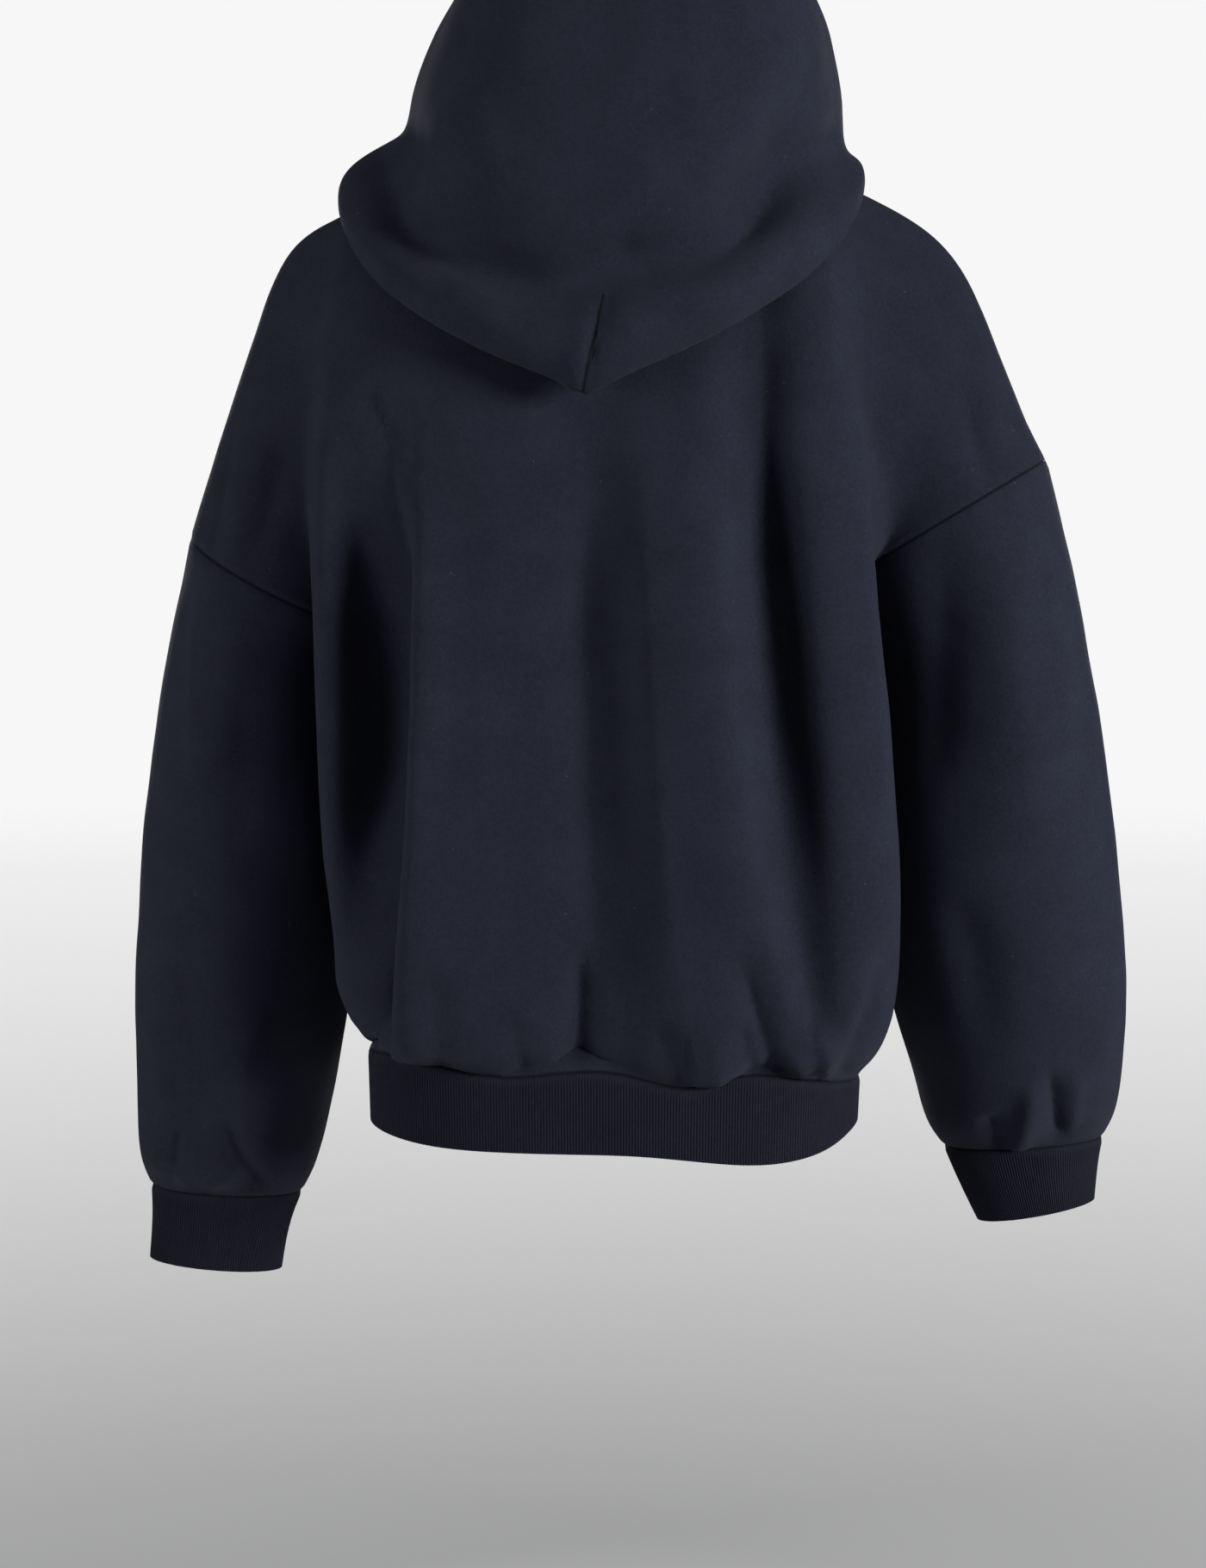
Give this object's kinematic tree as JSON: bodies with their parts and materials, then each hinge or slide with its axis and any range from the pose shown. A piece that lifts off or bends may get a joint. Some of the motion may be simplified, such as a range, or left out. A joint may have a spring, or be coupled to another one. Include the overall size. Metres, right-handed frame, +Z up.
{
  "type": "pullover hoodie",
  "caption": "Oversized pullover hoodie in a heavy smooth knit, in its worn shape, with a stand-up hood, dropped shoulders, full sleeves and ribbed cuffs and hem.",
  "frame": {"origin": "middle of the neck opening, level with the neck ends of the shoulder seams' mean line, where the wearer's neck and shoulders hold the garment up", "axes": "+Z up, -Y the front, +Y the back, +X the wearer's left"},
  "size_m": [0.7242, 0.3428, 0.974],
  "materials": {
    "navy_black_knit": "matt heavy double knit",
    "navy_black_rib": "matt ribbed knit"
  },
  "bodies": {
    "root": {"back": "navy_black_knit", "front": "navy_black_knit", "sleeve_left": "navy_black_knit", "sleeve_right": "navy_black_knit", "cuff_left": "navy_black_rib", "cuff_right": "navy_black_rib", "hem_rib": "navy_black_rib", "hood": "navy_black_knit"}
  },
  "joints": []
}
